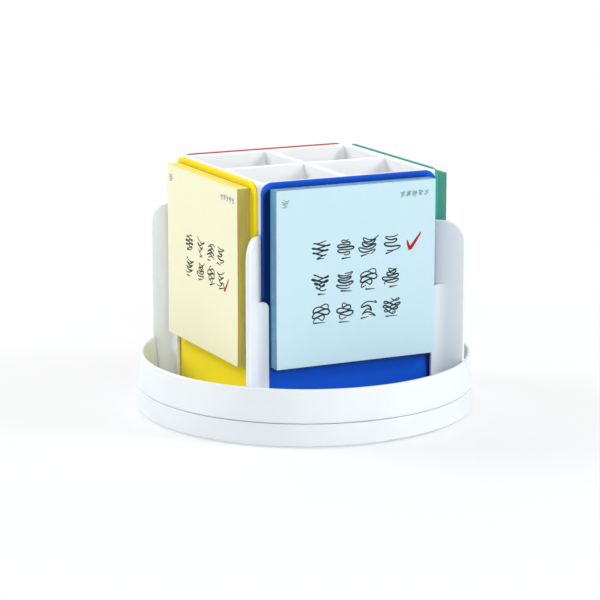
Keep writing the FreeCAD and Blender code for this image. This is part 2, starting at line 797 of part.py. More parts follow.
def add_tongue(body, label):
    """A tongue down through the tray's pan, with a hole for its cross pin."""
    tongue = new_sketch(body, f"{label}_tongue", TONGUE_BASE)
    outline(tongue, tongue_outline("0"))
    pad(body, tongue, f"{PAN_TOP} - {TONGUE_BASE}")
    hole = diagonal_sketch(body, f"{label}_pin_hole")
    circle(hole, TONGUE_REACH, PIN_HEIGHT, "pin_radius + pin_gap")
    cut(body, hole, "fin_thick", centred=True)


def make_fin_pins():
    """Steel cross pins through the fins' tongues, under the tray's pan."""
    body = new_body("fin_pins")
    pin = diagonal_sketch(body, "fin_pin")
    circle(pin, TONGUE_REACH, PIN_HEIGHT, "pin_radius")
    around(body, [pad(body, pin, "pin_length", centred=True)], SIDES)


def is_lip_root(edge, corner, face):
    """Whether an edge is one of the two upright corners where a lip's front face meets the fin."""
    box = edge.BoundBox
    spots = ((corner, face), (face, corner))
    return is_upright(edge) and any(near(box.XMin, x) and near(box.YMin, y) for x, y in spots)


def is_lip_tip(edge, free, top):
    """Whether an edge is the short top end of a lip's free side."""
    box = edge.BoundBox
    ends = near(box.XMin, free) and near(box.XLength, 0), near(box.YMin, free) and near(box.YLength, 0)
    return is_level(edge, top) and any(ends)


def is_fin_end(edge, reach, height):
    """Whether an edge crosses the fin's outer end at one height."""
    return is_level(edge, height) and near(reach_of(edge), reach)


def is_blade_edge(edge, root, lip_top):
    """Whether an edge runs along the fin's outline above the lips, out from the column."""
    box = edge.BoundBox
    along = edge.Length > number("fin_thick") + TOLERANCE
    return along and box.ZMax > lip_top + TOLERANCE and reach_of(edge) > root


# Plates and pads


def make_module(side, quarter):
    """Plate, backing card and memo pad of one side, turned by quarters from the front."""
    plate = new_body(f"{side}_plate")
    face = new_sketch(plate, f"{side}_plate_outline", PLATE_BACK, "XZ_Plane")
    rectangle(face, f"-{PLATE_WIDTH} / 2", PLATE_BASE, f"{PLATE_WIDTH} / 2", HOLDER_HEIGHT)
    pad(plate, face, "plate_thick")
    top, front = number(HOLDER_HEIGHT), -number(PLATE_FRONT)
    round_edges(plate, f"{side}_plate_corners", "plate_corner", lambda edge: is_top_corner(edge, top))
    round_edges(plate, f"{side}_plate_edges", "plate_edge", lambda edge: is_in_plane(edge, front))
    backing = new_body(f"{side}_pad_backing")
    card = new_sketch(backing, f"{side}_card_outline", PLATE_FRONT, "XZ_Plane")
    rectangle(card, "-pad_width / 2", "pad_base", "pad_width / 2", "pad_base + pad_height")
    pad(backing, card, "backing_thick")
    sheets = new_body(f"{side}_memo_pad")
    block = new_sketch(sheets, f"{side}_sheet_outline", f"{PLATE_FRONT} + backing_thick", "XZ_Plane")
    rectangle(block, "-pad_width / 2", "pad_base", "pad_width / 2", "pad_base + pad_height")
    pad(sheets, block, "pad_thick - backing_thick")
    for body in (plate, backing, sheets):
        face_side(body, quarter)


def is_top_corner(edge, top):
    """Whether an edge runs through the plate at one of its top corners."""
    box = edge.BoundBox
    return is_level(edge, top) and near(box.XLength, 0)


def is_in_plane(edge, depth):
    """Whether an edge lies wholly in one plane facing forward."""
    return near(edge.BoundBox.YMin, depth) and near(edge.BoundBox.YMax, depth)


def check_and_export():
    """Refuse any failed object or bad shape, then write one file for each node."""
    doc.recompute()
    for item in doc.Objects:
        if {"Invalid", "Error"} & set(item.State):
            raise RuntimeError(f"{item.Name} is {item.State}")
    for label, body in NODES.items():
        if body.Shape.isNull() or not body.Shape.isValid():
            raise RuntimeError(f"{label} has no valid shape")
    os.makedirs("parts", exist_ok=True)
    for label, body in NODES.items():
        body.Shape.exportStep(f"parts/{label}.step")
        print(f"{label}: {len(body.Shape.Solids)} solids, {body.Shape.Volume:.1f} mm3")


make_base_shell()
make_feet()
make_bearing()
make_pivot()
make_all_screws()
make_tray()
make_column()
make_pen_insert()
for quarter, corner in enumerate(("front_left", "front_right", "back_right", "back_left")):
    make_fin(f"fin_{corner}", quarter)
make_fin_pins()
for quarter, side in enumerate(("front", "right", "back", "left")):
    make_module(side, quarter)
check_and_export()
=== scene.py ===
import logging
import math
import random
from dataclasses import dataclass
from enum import Enum
from typing import Any, Callable, Sequence

import bmesh
import bpy
from mathutils import Matrix, Vector


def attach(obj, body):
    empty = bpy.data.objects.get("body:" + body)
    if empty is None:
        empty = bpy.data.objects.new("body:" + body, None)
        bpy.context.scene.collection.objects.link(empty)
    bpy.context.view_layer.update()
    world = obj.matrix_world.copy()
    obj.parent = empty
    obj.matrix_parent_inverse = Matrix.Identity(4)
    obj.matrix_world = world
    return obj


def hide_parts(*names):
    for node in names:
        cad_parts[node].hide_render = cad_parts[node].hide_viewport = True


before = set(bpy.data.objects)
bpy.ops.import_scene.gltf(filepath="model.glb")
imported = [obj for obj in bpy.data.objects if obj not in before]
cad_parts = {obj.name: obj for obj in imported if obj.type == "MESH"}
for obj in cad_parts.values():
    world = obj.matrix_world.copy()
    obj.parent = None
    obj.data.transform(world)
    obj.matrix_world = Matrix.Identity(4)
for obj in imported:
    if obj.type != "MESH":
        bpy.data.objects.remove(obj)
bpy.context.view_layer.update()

# Dressed model of a revolving memo pad and pen organizer. Lengths are metres, +Z is up and the
# front plate faces -Y, as in the frame. MM turns a size in millimetres into metres.

MM = 0.001
LOG = logging.getLogger("organizer")

Colour = tuple[float, float, float, float]
Point = tuple[float, float, float]
Mesh = bpy.types.Mesh
Node = bpy.types.Node
Object = bpy.types.Object
Socket = bpy.types.NodeSocket


def srgb(red: int, green: int, blue: int) -> Colour:
    """A colour given in screen levels, as the linear values that shaders take.

    Args:
        red: Red level, 0 to 255.
        green: Green level, 0 to 255.
        blue: Blue level, 0 to 255.

    Returns:
        Linear red, green and blue, and an alpha of one.
    """
    knee, gain, offset, power = 0.04045, 12.92, 0.055, 2.4

    def linear(level: int) -> float:
        """One channel, from screen level to linear."""
        value = level / 255
        return value / gain if value <= knee else ((value + offset) / (1 + offset)) ** power

    return (linear(red), linear(green), linear(blue), 1.0)


class Graph:
    """Adds nodes to one tree and links them as they are added."""

    def __init__(self, tree: bpy.types.NodeTree) -> None:
        """Keeps the tree that nodes are added to."""
        self.tree = tree

    def add(self, kind: str, inputs: dict[Any, Any] | None = None, **settings: Any) -> Node:
        """Adds a node, sets it up and links what feeds it.

        Args:
            kind: Type name of the node.
            inputs: Name or number of each input to set, with its value or the socket that feeds it.
            settings: Properties of the node itself, such as its operation.

        Returns:
            The new node.
        """
        node = self.tree.nodes.new(kind)
        for name, setting in settings.items():
            setattr(node, name, setting)
        for key, value in (inputs or {}).items():
            self.feed(node.inputs[key], value)
        return node

    def feed(self, socket: Socket, value: Any) -> None:
        """Links a socket to an input, or sets the input's own value.

        Args:
            socket: The input.
            value: The socket that feeds it, or its value.
        """
        if isinstance(value, Socket):
            self.tree.links.new(value, socket)
        else:
            socket.default_value = value

    def math(self, operation: str, first: Any, second: Any = 0.0, clamp: bool = False) -> Socket:
        """The result of a math node on two values."""
        inputs = {0: first, 1: second}
        return self.add("ShaderNodeMath", inputs, operation=operation, use_clamp=clamp).outputs[0]

    def mix(self, share: Any, first: Any, second: Any, blend: str = "MIX") -> Socket:
        """Two colours mixed by a share from 0 to 1."""
        inputs = {0: share, 6: first, 7: second}
        return self.add("ShaderNodeMix", inputs, data_type="RGBA", blend_type=blend).outputs[2]

    def product(self, first: Any, *more: Any) -> Socket:
        """Numbers multiplied together.

        Args:
            first: The first number or socket.
            more: The others.

        Returns:
            The product.
        """
        for value in more:
            first = self.math("MULTIPLY", first, value)
        return first

    def vector(self, x: Any = 0.0, y: Any = 0.0, z: Any = 0.0) -> Socket:
        """Three numbers as one vector."""
        return self.add("ShaderNodeCombineXYZ", {0: x, 1: y, 2: z}).outputs[0]

    def parts(self, vector: Socket) -> Any:
        """A vector's X, Y and Z."""
        return self.add("ShaderNodeSeparateXYZ", {0: vector}).outputs

    def shaded(self, colour: Any, level: Socket) -> Socket:
        """A colour multiplied by a grey level."""
        grey = self.add("ShaderNodeCombineColor", {0: level, 1: level, 2: level}).outputs[0]
        return self.mix(1.0, colour, grey, "MULTIPLY")

    def ramp(self, value: Any, low: float, high: float, start: float, end: float) -> Socket:
        """A value moved from one range to another, held at the ends."""
        inputs = {"Value": value, "From Min": low, "From Max": high, "To Min": start, "To Max": end}
        return self.add("ShaderNodeMapRange", inputs, clamp=True).outputs[0]

    def principled(self, inputs: dict[str, Any]) -> Socket:
        """A principled shader."""
        return self.add("ShaderNodeBsdfPrincipled", inputs).outputs[0]

    def noise(self, scale: Any, detail: float = 2.0, stretch: Point = (1, 1, 1)) -> Socket:
        """Noise in the piece's own place.

        Args:
            scale: Waves per metre.
            detail: Octaves of finer noise.
            stretch: Scale along each axis.

        Returns:
            The noise, from 0 to 1.
        """
        place = self.add("ShaderNodeTexCoord").outputs["Object"]
        place = self.add("ShaderNodeMapping", {"Vector": place, "Scale": stretch}).outputs[0]
        return self.add("ShaderNodeTexNoise", {"Vector": place, "Scale": scale, "Detail": detail}).outputs[0]


def empty_graph(owner: bpy.types.Material | bpy.types.World) -> Graph:
    """Turns on a material's or a world's nodes and empties them.

    Args:
        owner: The material or world.

    Returns:
        A graph to add nodes to.
    """
    owner.use_nodes = True
    owner.node_tree.nodes.clear()
    return Graph(owner.node_tree)


# Effects that several finishes share


@dataclass(frozen=True)
class Effect:
    """A shader node group that is built once and placed in each material with values of its own."""

    name: str
    inputs: tuple[tuple[str, float], ...]
    output: str
    rule: Callable[[Graph, Any], Socket]

    def tree(self) -> bpy.types.NodeTree:
        """The group's tree, built at its first use.

        Returns:
            The tree.
        """
        known = bpy.data.node_groups.get(self.name)
        if known:
            return known
        tree = bpy.data.node_groups.new(self.name, "ShaderNodeTree")
        for name, value in self.inputs:
            socket = tree.interface.new_socket(name, in_out="INPUT", socket_type="NodeSocketFloat")
            socket.default_value = value
        tree.interface.new_socket(self.output, in_out="OUTPUT", socket_type="NodeSocketFloat")
        graph = Graph(tree)
        result = self.rule(graph, graph.add("NodeGroupInput").outputs)
        graph.add("NodeGroupOutput", {0: result})
        return tree

    def place(self, graph: Graph, **values: float) -> Socket:
        """Puts the group in a material.

        Args:
            graph: The material's graph.
            values: Values for the group's inputs, with underscores for spaces.

        Returns:
            The group's output.
        """
        node = graph.add("ShaderNodeGroup", node_tree=self.tree())
        for name, value in values.items():
            node.inputs[name.replace("_", " ").capitalize()].default_value = value
        return node.outputs[0]


def grain_rule(graph: Graph, given: Any) -> Socket:
    """Fine pits over broad, very shallow waves, as a mould leaves them.

    Args:
        graph: The effect's nodes.
        given: The effect's inputs.

    Returns:
        The height.
    """
    wave_scale = 28.0
    pits = graph.product(graph.noise(given["Scale"], 3), given["Depth"])
    return graph.math("ADD", pits, graph.product(graph.noise(wave_scale, 1), given["Waves"]))


def wear_rule(graph: Graph, given: Any) -> Socket:
    """Edge wear and painted edge highlight: where the surface turns sharply, broken up by noise.

    Args:
        graph: The effect's nodes.
        given: The effect's inputs.

    Returns:
        The mask.
    """
    patch_scale, flat, sharp = 340.0, 0.98, 0.75
    rounded = graph.add("ShaderNodeBevel", {"Radius": given["Radius"]}, samples=4).outputs[0]
    own = graph.add("ShaderNodeNewGeometry").outputs["Normal"]
    agree = graph.add("ShaderNodeVectorMath", {0: rounded, 1: own}, operation="DOT_PRODUCT").outputs["Value"]
    edge = graph.ramp(agree, flat, sharp, 0.0, 1.0)
    patches = graph.ramp(graph.noise(patch_scale, 4), 0.42, 0.62, 0.25, 1.0)
    return graph.product(edge, patches, given["Amount"])


def dust_rule(graph: Graph, given: Any) -> Socket:
    """Dust that lies on faces that look up.

    Args:
        graph: The effect's nodes.
        given: The effect's inputs.

    Returns:
        The mask.
    """
    speck_scale, veil_scale = 1900.0, 60.0
    normal = graph.add("ShaderNodeNewGeometry").outputs["Normal"]
    upward = graph.ramp(graph.parts(normal)["Z"], 0.55, 0.98, 0.0, 1.0)
    specks = graph.ramp(graph.noise(speck_scale, 4), 0.56, 0.72, 0.0, 1.0)
    veil = graph.ramp(graph.noise(veil_scale, 3), 0.35, 0.75, 0.0, 0.5)
    return graph.product(graph.math("MAXIMUM", specks, veil), upward, given["Amount"])


def handling_rule(graph: Graph, given: Any) -> Socket:
    """Roughness that varies in soft smudges and fine rubbed streaks.

    Args:
        graph: The effect's nodes.
        given: The effect's inputs.

    Returns:
        The roughness.
    """
    smudge_scale, streak_scale, streak_stretch = 46.0, 900.0, (1, 1, 0.12)
    smudge = graph.ramp(graph.noise(smudge_scale, 3), 0.3, 0.7, -1.0, 1.0)
    streak = graph.ramp(graph.noise(streak_scale, 2, streak_stretch), 0.3, 0.7, -0.5, 0.5)
    change = graph.product(graph.math("ADD", smudge, streak), given["Change"])
    return graph.math("ADD", change, given["Roughness"], clamp=True)


def fibre_rule(graph: Graph, given: Any) -> Socket:
    """Crossed short fibres and the cloudy body of paper and card.

    Args:
        graph: The effect's nodes.
        given: The effect's inputs.

    Returns:
        The height.
    """
    cloud_scale, short, fibre_share, cloud_share = 240.0, 0.22, 0.38, 0.24
    along = graph.noise(given["Scale"], 3, (1, 1, short))
    across = graph.noise(given["Scale"], 3, (short, short, 1))
    fibres = graph.product(graph.math("ADD", along, across), fibre_share)
    return graph.math("ADD", fibres, graph.product(graph.noise(cloud_scale, 3), cloud_share))


def crevice_rule(graph: Graph, given: Any) -> Socket:
    """Painted shadow: a mask that is high where another surface stands close, counted most on the side to
    which the effect leans.

    Args:
        graph: The effect's nodes.
        given: The effect's inputs.

    Returns:
        The painted shadow mask.
    """
    lean_up, open_from, full_from = 0.25, 0.68, 0.5
    lean = graph.vector(given["Lean x"], given["Lean y"], lean_up)
    settings = {"vector_type": "VECTOR", "convert_from": "OBJECT", "convert_to": "WORLD"}
    lean = graph.add("ShaderNodeVectorTransform", {0: lean}, **settings).outputs[0]
    own = graph.add("ShaderNodeNewGeometry").outputs["Normal"]
    leaning = graph.add("ShaderNodeVectorMath", {0: own, 1: lean}, operation="ADD").outputs[0]
    inputs = {
        "Distance": given["Reach"],
        "Normal": graph.add("ShaderNodeVectorMath", {0: leaning}, operation="NORMALIZE").outputs[0],
    }
    open_share = graph.add("ShaderNodeAmbientOcclusion", inputs, samples=32).outputs["AO"]
    return graph.product(graph.ramp(open_share, open_from, full_from, 0.0, 1.0), given["Amount"])


GRAIN = Effect("mould_grain", (("Scale", 2600.0), ("Depth", 1.0), ("Waves", 6.0)), "Height", grain_rule)
WEAR_AND_HIGHLIGHT = Effect("edge_wear", (("Radius", 0.0004), ("Amount", 0.5)), "Mask", wear_rule)
DUST = Effect("settled_dust", (("Amount", 0.3),), "Mask", dust_rule)
HANDLING = Effect("handling", (("Roughness", 0.4), ("Change", 0.04)), "Roughness", handling_rule)
# Painted shadow: an occlusion mask that darkens a colour beside and under things that stand close, leaning to
# one side.
PAINTED_SHADOW_INPUTS = (("Reach", 0.009), ("Lean x", 0.0), ("Lean y", 0.0), ("Amount", 0.9))
PAINTED_SHADOW = Effect("crevice", PAINTED_SHADOW_INPUTS, "Mask", crevice_rule)
FIBRE = Effect("paper_fibre", (("Scale", 5200.0),), "Height", fibre_rule)


# Finishes


@dataclass(frozen=True)
class Finish:
    """A surface finish with a material of its own."""

    name: str

    def material(self) -> bpy.types.Material:
        """The finish's material, built at its first use.

        Returns:
            The material.
        """
        known = bpy.data.materials.get(self.name)
        if known:
            return known
        material = bpy.data.materials.new(self.name)
        graph = empty_graph(material)
        graph.add("ShaderNodeOutputMaterial", {"Surface": self.surface(graph)})
        return material

    def surface(self, graph: Graph) -> Socket:
        """The shader that makes the finish.

        Args:
            graph: The material's nodes.

        Returns:
            The shader.
        """
        raise NotImplementedError


def bump(graph: Graph, height: Any, distance: float, soften: float = 0.0) -> Socket:
    """A normal bent by a height.

    Args:
        graph: The material's graph.
        height: The height, from 0 to 1.
        distance: What its full range stands for, in metres.
        soften: Radius to which sharp edges look rounded, in metres.

    Returns:
        The normal.
    """
    inputs = {"Height": height, "Distance": distance}
    if soften:
        inputs["Normal"] = graph.add("ShaderNodeBevel", {"Radius": soften}, samples=6).outputs[0]
    return graph.add("ShaderNodeBump", inputs).outputs[0]


@dataclass(frozen=True)
class MouldedPlastic(Finish):
    """Injection-moulded plastic with a fine grain, rubbed edges that are partly a painted highlight, a little
    dust and, where set, painted shadow beside things that stand close.
    """

    colour: Colour
    # Edge tone, lighter than the colour: partly rubbed wear, partly a painted highlight along edges.
    edge: Colour
    roughness: float = 0.42
    shine: float = 0.35
    grain: float = 5e-6
    wear: float = 0.3
    dust: float = 0.1
    dust_tone: Colour = srgb(214, 211, 204)
    softened: float = 0.35 * MM
    shaded_side: tuple[float, float] = (0.0, 0.0)
    shade: float = 0.0
    shade_depth: float = 0.05
    depth: float = 0.0
    depth_share: float = 0.4
    mottle_scale: float = 75.0

    def surface(self, graph: Graph) -> Socket:
        """The plastic's shader.

        Args:
            graph: The material's nodes.

        Returns:
            The shader.
        """
        tone = graph.shaded(self.colour, graph.ramp(graph.noise(self.mottle_scale, 4), 0.3, 0.7, 0.975, 1.0))
        # Sharp edges are mixed towards the lighter edge tone: partly rubbed wear, partly a painted edge
        # highlight.
        tone = graph.mix(WEAR_AND_HIGHLIGHT.place(graph, amount=self.wear), tone, self.edge)
        tone = graph.mix(DUST.place(graph, amount=self.dust), tone, self.dust_tone)
        # Painted shadow: the colour is darkened towards a deep tone where another surface stands close, most
        # on the leaning side.
        if self.shade:
            deep = tuple(channel * self.shade_depth for channel in self.colour[:3]) + (1.0,)
            lean_x, lean_y = self.shaded_side
            mask = PAINTED_SHADOW.place(graph, lean_x=lean_x, lean_y=lean_y, amount=self.shade)
            tone = graph.mix(mask, tone, deep)
        return graph.principled({
            "Base Color": tone,
            "Subsurface Weight": self.depth_share if self.depth else 0.0,
            "Subsurface Radius": (1.0, 0.96, 0.92),
            "Subsurface Scale": self.depth,
            "Roughness": HANDLING.place(graph, roughness=self.roughness, change=0.05),
            "Specular IOR Level": self.shine,
            "Normal": bump(graph, GRAIN.place(graph), self.grain, self.softened),
        })


@dataclass(frozen=True)
class Paper(Finish):
    """Sheets of coloured paper, deeper in tone on the cut edges than on the face, gummed at the top."""

    face: Colour
    cut: Colour
    gum: Colour
    layer_scale: float = 9000.0
    relief: float = 2.5e-5

    def surface(self, graph: Graph) -> Socket:
        """The paper's shader, which reads whether a side is a face (0), a cut edge (1) or gummed (2).

        Args:
            graph: The material's nodes.

        Returns:
            The shader.
        """
        kind = graph.add("ShaderNodeAttribute", attribute_name="cut_edge").outputs["Fac"]
        cut_share, gum_share = graph.ramp(kind, 0.0, 1.0, 0.0, 1.0), graph.ramp(kind, 1.2, 1.8, 0.0, 1.0)
        fibre = FIBRE.place(graph)
        cut = graph.shaded(self.cut, graph.ramp(graph.noise(self.layer_scale, 2), 0.3, 0.7, 0.82, 1.0))
        face = graph.shaded(self.face, graph.ramp(fibre, 0.35, 0.65, 0.97, 1.0))
        return graph.principled({
            "Base Color": graph.mix(gum_share, graph.mix(cut_share, face, cut), self.gum),
            "Roughness": graph.ramp(fibre, 0.3, 0.7, 0.78, 0.9),
            "Specular IOR Level": 0.2,
            "Normal": bump(graph, fibre, self.relief),
        })


@dataclass(frozen=True)
class Card(Finish):
    """Coloured pulp board with pale flecks."""

    colour: Colour
    fleck_tone: Colour = srgb(120, 112, 100)
    fleck_scale: float = 3200.0
    relief: float = 5e-5

    def surface(self, graph: Graph) -> Socket:
        """The card's shader.

        Args:
            graph: The material's nodes.

        Returns:
            The shader.
        """
        fibre = FIBRE.place(graph, scale=2400.0)
        fleck = graph.ramp(graph.noise(self.fleck_scale, 2), 0.6, 0.7, 0.0, 0.5)
        return graph.principled({
            "Base Color": graph.mix(fleck, self.colour, self.fleck_tone),
            "Roughness": graph.ramp(fibre, 0.3, 0.7, 0.82, 0.95),
            "Specular IOR Level": 0.2,
            "Normal": bump(graph, fibre, self.relief),
        })


@dataclass(frozen=True)
class Rubber(Finish):
    """Matt black rubber with a bloom of dust."""

    colour: Colour
    bloom_tone: Colour = srgb(86, 86, 84)
    bloom_scale: float = 420.0
    relief: float = 2e-5

    def surface(self, graph: Graph) -> Socket:
        """The rubber's shader.

        Args:
            graph: The material's nodes.

        Returns:
            The shader.
        """
        bloom = graph.ramp(graph.noise(self.bloom_scale, 4), 0.45, 0.75, 0.0, 0.35)
        return graph.principled({
            "Base Color": graph.mix(bloom, self.colour, self.bloom_tone),
            "Roughness": HANDLING.place(graph, roughness=0.82, change=0.08),
            "Specular IOR Level": 0.3,
            "Normal": bump(graph, GRAIN.place(graph, scale=3800.0), self.relief),
        })


@dataclass(frozen=True)
class Metal(Finish):
    """Turned or rolled steel with fine lines left by the tool."""

    colour: Colour
    roughness: float
    lines: float = 2e-6
    stain_tone: Colour = srgb(150, 146, 140)
    stain_scale: float = 500.0

    def surface(self, graph: Graph) -> Socket:
        """The metal's shader.

        Args:
            graph: The material's nodes.

        Returns:
            The shader.
        """
        turning = graph.noise(5200.0, 2, (0.2, 0.2, 1.0))
        stain = graph.ramp(graph.noise(self.stain_scale, 3), 0.4, 0.8, 0.0, 0.3)
        return graph.principled({
            "Base Color": graph.mix(stain, self.colour, self.stain_tone),
            "Metallic": 1.0,
            "Roughness": HANDLING.place(graph, roughness=self.roughness, change=0.06),
            "Normal": bump(graph, turning, self.lines),
        })


@dataclass(frozen=True)
class Ink(Finish):
    """Pen ink, thicker and glossier in places."""

    colour: Colour
    pool_scale: float = 1500.0
    relief: float = 1.5e-5

    def surface(self, graph: Graph) -> Socket:
        """The ink's shader.

        Args:
            graph: The material's nodes.

        Returns:
            The shader.
        """
        gain, lift = 2.2, 0.02
        pooled = graph.ramp(graph.noise(self.pool_scale, 3), 0.35, 0.7, 0.0, 0.3)
        lighter = tuple(min(1.0, channel * gain + lift) for channel in self.colour[:3]) + (1.0,)
        return graph.principled({
            "Base Color": graph.mix(pooled, self.colour, lighter),
            "Roughness": graph.ramp(pooled, 0.0, 0.3, 0.45, 0.7),
            "Specular IOR Level": 0.25,
            "Normal": bump(graph, FIBRE.place(graph), self.relief),
        })


WHITE_PLASTIC = MouldedPlastic(
    "white_shell", srgb(239, 243, 246), srgb(250, 251, 252), wear=0.35, depth=2.5 * MM
)
# Painted light: a whiter copy of the white shell's plastic, so the pen cells read brighter than their
# lighting makes them.
CELL_PLASTIC_PAINTED_LIGHT = MouldedPlastic("pen_cells", srgb(250, 251, 252), srgb(253, 253, 253))
RACE_PLASTIC = MouldedPlastic("race_acetal", srgb(226, 226, 220), srgb(240, 240, 236), roughness=0.3)
CAGE_PLASTIC = MouldedPlastic("cage_nylon", srgb(196, 190, 172), srgb(222, 216, 200), roughness=0.5)
STEEL = Metal("zinc_screws", srgb(196, 197, 200), 0.32)
BALL_STEEL = Metal("polished_balls", srgb(214, 216, 220), 0.08, 4e-7)
RUBBER = Rubber("foot_rubber", srgb(30, 30, 31))
BLACK_INK = Ink("black_ink", srgb(24, 40, 44))
RED_INK = Ink("red_ink", srgb(166, 16, 32))
GREY_INK = Ink("grey_print", srgb(112, 132, 138))


# Meshes

SHARP_ANGLE = 35.0


def new_object(name: str, data: Any) -> Object:
    """Puts an object at the scene's origin.

    Args:
        name: Name of the object.
        data: Its mesh, lamp or camera.

    Returns:
        The object.
    """
    item = bpy.data.objects.new(name, data)
    bpy.context.scene.collection.objects.link(item)
    return item


def plain_mesh(piece: Object) -> None:
    """Turns the result of a piece's modifiers into its own mesh and removes them.

    Args:
        piece: The piece.
    """
    depsgraph = bpy.context.evaluated_depsgraph_get()
    mesh = bpy.data.meshes.new_from_object(piece.evaluated_get(depsgraph), depsgraph=depsgraph)
    piece.modifiers.clear()
    piece.data = mesh


def lathe(name: str, profile: Sequence[tuple[float, float]], segments: int) -> Mesh:
    """A closed solid turned from a profile of radius and height that starts and ends on the axis.

    Args:
        name: Name of the mesh.
        profile: Radius and height of each point, from the top's middle round to the underside's.
        segments: Sides of the turned shape.

    Returns:
        The mesh.
    """
    shape = bmesh.new()
    rings: list[list[bmesh.types.BMVert]] = []
    for radius, height in profile:
        count = 1 if radius == 0 else segments
        turns = [math.tau * index / count for index in range(count)]
        points = [(radius * math.cos(turn), radius * math.sin(turn), height) for turn in turns]
        rings.append([shape.verts.new(point) for point in points])
    for upper, lower in zip(rings, rings[1:]):
        for index in range(segments):
            following = (index + 1) % segments
            corners = [upper[index % len(upper)], lower[index % len(lower)]]
            corners += [lower[following % len(lower)], upper[following % len(upper)]]
            shape.faces.new(list(dict.fromkeys(corners)))
    bmesh.ops.recalc_face_normals(shape, faces=shape.faces)
    mesh = bpy.data.meshes.new(name)
    shape.to_mesh(mesh)
    shape.free()
    mesh.set_sharp_from_angle(angle=math.radians(SHARP_ANGLE))
    return mesh


def polylines(
    name: str, lines: Sequence[Sequence[Point]], pressures: Sequence[Sequence[float]]
) -> Mesh:
    """Open lines as a mesh of edges, with the pen's pressure at each point.

    Args:
        name: Name of the mesh.
        lines: Points of each line.
        pressures: Pressure at each of those points, 0 to 1.

    Returns:
        The mesh, with the pressures in an attribute.
    """
    points: list[Point] = []
    edges: list[tuple[int, int]] = []
    for line in lines:
        start = len(points)
        points.extend(line)
        edges.extend((start + step, start + step + 1) for step in range(len(line) - 1))
    mesh = bpy.data.meshes.new(name)
    mesh.from_pydata(points, edges, [])
    pressure = mesh.attributes.new("pressure", "FLOAT", "POINT")
    pressure.data.foreach_set("value", [value for line in pressures for value in line])
    return mesh


class Recipe:
    """A geometry node tree with named inputs whose result is turned into plain meshes."""

    def __init__(self, name: str, inputs: dict[str, str]) -> None:
        """Starts the tree.

        Args:
            name: Name of the tree.
            inputs: Socket type of each named input.
        """
        self.tree = bpy.data.node_groups.new(name, "GeometryNodeTree")
        self.tree.is_modifier = True
        kinds = {"Geometry": "NodeSocketGeometry"} | inputs | {"Finish": "NodeSocketMaterial"}
        for label, kind in kinds.items():
            self.tree.interface.new_socket(label, in_out="INPUT", socket_type=kind)
        self.tree.interface.new_socket("Geometry", in_out="OUTPUT", socket_type=kinds["Geometry"])
        self.graph = Graph(self.tree)
        self.given = self.graph.add("NodeGroupInput").outputs

    def end(self, geometry: Socket) -> None:
        """Makes the tree's result real, gives it its finish and puts it out.

        Args:
            geometry: The result of the recipe's own nodes.
        """
        real = self.graph.add("GeometryNodeRealizeInstances", {0: geometry}).outputs[0]
        inputs = {"Geometry": real, "Material": self.given["Finish"]}
        dressed = self.graph.add("GeometryNodeSetMaterial", inputs).outputs[0]
        self.graph.add("NodeGroupOutput", {0: dressed})

    def make(self, name: str, base: Mesh, finish: Finish, **values: Any) -> Object:
        """Runs the tree on a mesh.

        Args:
            name: Name of the piece.
            base: The mesh that the tree starts from.
            finish: The piece's finish.
            values: Values for the named inputs, in lower case with underscores for spaces.

        Returns:
            The piece, with a plain mesh and no modifier.
        """
        piece = new_object(name, base)
        modifier = piece.modifiers.new("recipe", "NODES")
        modifier.node_group = self.tree
        given = {label.replace("_", " ").capitalize(): value for label, value in values.items()}
        given["Finish"] = finish.material()
        for item in self.tree.interface.items_tree:
            if item.in_out == "INPUT" and item.name in given:
                modifier[item.identifier] = given[item.name]
        piece.update_tag()
        plain_mesh(piece)
        return piece


def random_vector(graph: Graph, least: Any, most: Any, seed: Any) -> Socket:
    """A vector between two others, drawn anew for each element."""
    inputs = {0: least, 1: most, "Seed": seed}
    return graph.add("FunctionNodeRandomValue", inputs, data_type="FLOAT_VECTOR").outputs[0]


def one_sheet(recipe: Recipe, pitch: Socket) -> Socket:
    """One sheet, its sides marked as face (0), cut edge (1) or gummed top edge (2).

    Args:
        recipe: The recipe that it belongs to.
        pitch: Distance from one sheet to the next.

    Returns:
        The sheet's mesh.
    """
    graph, given = recipe.graph, recipe.given
    filled, rows, strays = 0.93, 12, 3.0
    margin = graph.product(given["Stray"], strays)
    width, height = (graph.math("SUBTRACT", given[label], margin) for label in ("Width", "Height"))
    size = graph.vector(width, graph.product(pitch, filled), height)
    inputs = {"Size": size, "Vertices X": 2, "Vertices Y": 2, "Vertices Z": rows}
    cube = graph.add("GeometryNodeMeshCube", inputs).outputs["Mesh"]
    normal = graph.parts(graph.add("GeometryNodeInputNormal").outputs["Normal"])
    cut = graph.math("LESS_THAN", graph.math("ABSOLUTE", normal["Y"]), 0.5)
    kind = graph.math("ADD", cut, graph.math("GREATER_THAN", normal["Z"], 0.5))
    inputs = {"Geometry": cube, "Name": "cut_edge"}
    marked = graph.add("GeometryNodeStoreNamedAttribute", inputs, data_type="FLOAT", domain="FACE")
    graph.feed(next(socket for socket in marked.inputs if socket.name == "Value" and socket.enabled), kind)
    return marked.outputs[0]


